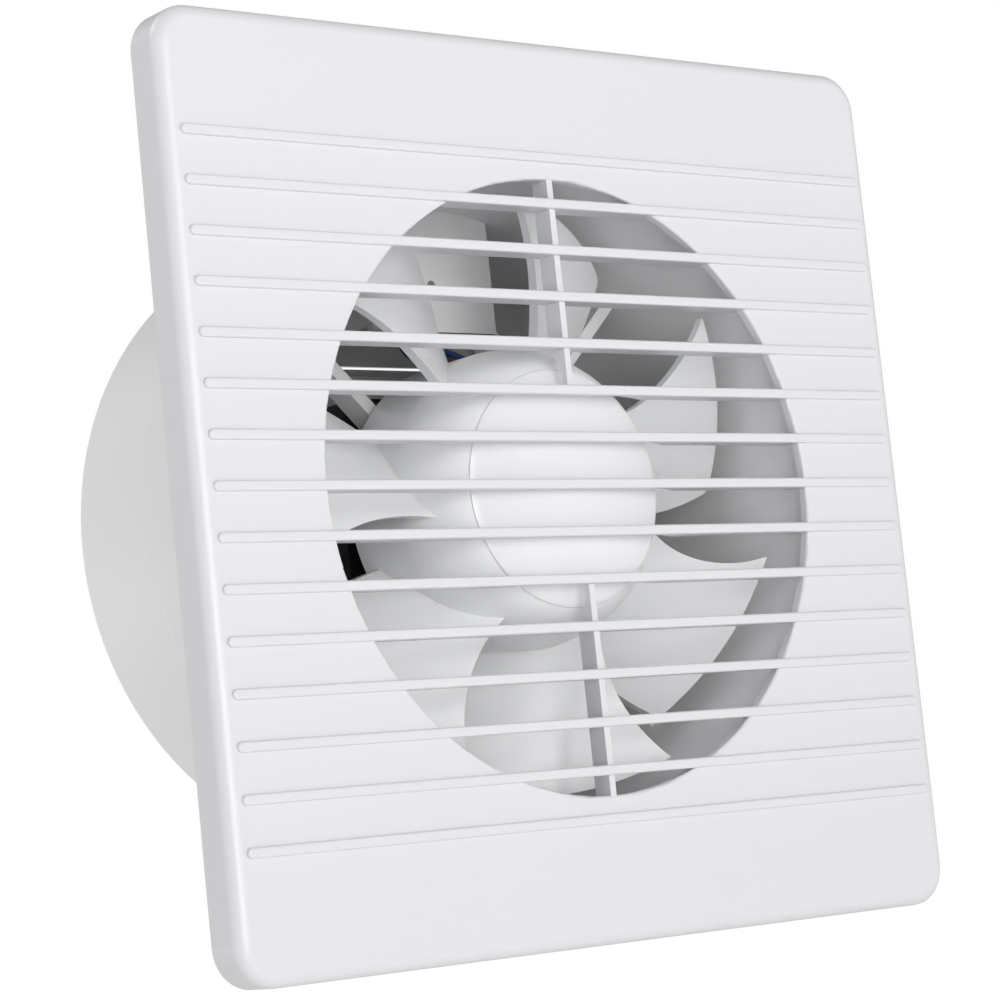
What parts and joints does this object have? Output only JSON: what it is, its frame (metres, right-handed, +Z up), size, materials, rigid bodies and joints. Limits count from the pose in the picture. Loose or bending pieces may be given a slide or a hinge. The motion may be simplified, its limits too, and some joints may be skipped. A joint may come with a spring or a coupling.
{
  "type": "bathroom extractor fan",
  "caption": "Square wall-mounted axial extractor fan with a ribbed front grille, bladed impeller, shaded-pole motor, round duct spigot and gravity backdraught shutter.",
  "frame": {"origin": "on the duct axis, in the plane of the wall: the centre of the four wall screw holes at the back face of the mounting plate", "axes": "+Z up, -Y towards the room, +Y along the duct away from the room, +X to the right as seen from the room"},
  "size_m": [0.2, 0.0909, 0.2],
  "materials": {
    "fascia_white": "moulded ABS, satin gloss",
    "housing_white": "moulded ABS, satin gloss",
    "impeller_white": "moulded ABS, smooth",
    "cap_white": "moulded ABS, polished",
    "shutter_white": "moulded ABS, satin",
    "flap_white": "thin moulded plastic",
    "die_cast_alloy": "die cast, as cast",
    "core_laminations": "black varnished laminations",
    "rotor_laminations": "ground laminations",
    "rotor_aluminium": "cast",
    "copper_bar": "bare copper",
    "bobbin_nylon": "black nylon",
    "enamelled_copper": "enamelled copper wire",
    "coil_tape": "black insulating tape",
    "sintered_bronze": "oil-filled sintered bronze",
    "oiled_felt": "oiled wool felt",
    "spring_steel": "spring steel",
    "plated_steel": "zinc plated",
    "shaft_steel": "ground steel",
    "terminal_nylon": "natural nylon",
    "terminal_brass": "machined brass",
    "grommet_rubber": "soft moulded rubber",
    "lead_brown": "PVC insulation",
    "lead_blue": "PVC insulation",
    "washer_nylon": "nylon"
  },
  "bodies": {
    "fan_body": {"housing": "housing_white", "front_bracket": "die_cast_alloy", "rear_bracket": "die_cast_alloy", "stator_core": "core_laminations", "shading_rings": "copper_bar", "coil_bobbin": "bobbin_nylon", "coil_winding": "enamelled_copper", "coil_tape": "coil_tape", "bearing_bushes": "sintered_bronze", "felt_oilers": "oiled_felt", "bearing_retainers": "spring_steel", "motor_bolts": "plated_steel", "motor_nuts": "plated_steel", "motor_mount_screws": "plated_steel", "terminal_block": "terminal_nylon", "terminal_tubes": "terminal_brass", "terminal_screws": "plated_steel", "terminal_block_screw": "plated_steel", "terminal_cover": "housing_white", "terminal_cover_screw": "plated_steel", "cable_grommet": "grommet_rubber", "motor_lead_live": "lead_brown", "motor_lead_neutral": "lead_blue", "shutter_frame": "shutter_white", "shutter_screws": "plated_steel"},
    "rotor": {"impeller": "impeller_white", "nose_cap": "cap_white", "impeller_bush": "terminal_brass", "impeller_nut": "terminal_brass", "motor_shaft": "shaft_steel", "rotor_core": "rotor_laminations", "rotor_end_rings": "rotor_aluminium", "rotor_spacers": "plated_steel", "thrust_washers": "washer_nylon"},
    "grille": {"front_grille": "fascia_white"},
    "flap_1": {"shutter_flap_1": "flap_white"},
    "flap_2": {"shutter_flap_2": "flap_white"},
    "flap_3": {"shutter_flap_3": "flap_white"},
    "flap_4": {"shutter_flap_4": "flap_white"},
    "flap_5": {"shutter_flap_5": "flap_white"},
    "flap_6": {"shutter_flap_6": "flap_white"}
  },
  "joints": [
    {"name": "impeller_spin", "type": "hinge", "parent": "fan_body", "child": "rotor", "pos_m": [0, 0, 0], "axis": [0, -1, 0], "continuous": true},
    {"name": "grille_pull_off", "type": "slide", "parent": "fan_body", "child": "grille", "axis": [0, -1, 0], "range_m": [0, 0.03]},
    {"name": "flap_1_swing", "type": "hinge", "parent": "fan_body", "child": "flap_1", "pos_m": [0, 0.0767, 0.0615], "axis": [1, 0, 0], "range_deg": [0, 75]},
    {"name": "flap_2_swing", "type": "hinge", "parent": "fan_body", "child": "flap_2", "pos_m": [0, 0.0767, 0.0409], "axis": [1, 0, 0], "range_deg": [0, 75]},
    {"name": "flap_3_swing", "type": "hinge", "parent": "fan_body", "child": "flap_3", "pos_m": [0, 0.0767, 0.0203], "axis": [1, 0, 0], "range_deg": [0, 75]},
    {"name": "flap_4_swing", "type": "hinge", "parent": "fan_body", "child": "flap_4", "pos_m": [0, 0.0767, -0.0003], "axis": [1, 0, 0], "range_deg": [0, 75]},
    {"name": "flap_5_swing", "type": "hinge", "parent": "fan_body", "child": "flap_5", "pos_m": [0, 0.0767, -0.0209], "axis": [1, 0, 0], "range_deg": [0, 75]},
    {"name": "flap_6_swing", "type": "hinge", "parent": "fan_body", "child": "flap_6", "pos_m": [0, 0.0767, -0.0415], "axis": [1, 0, 0], "range_deg": [0, 75]}
  ]
}
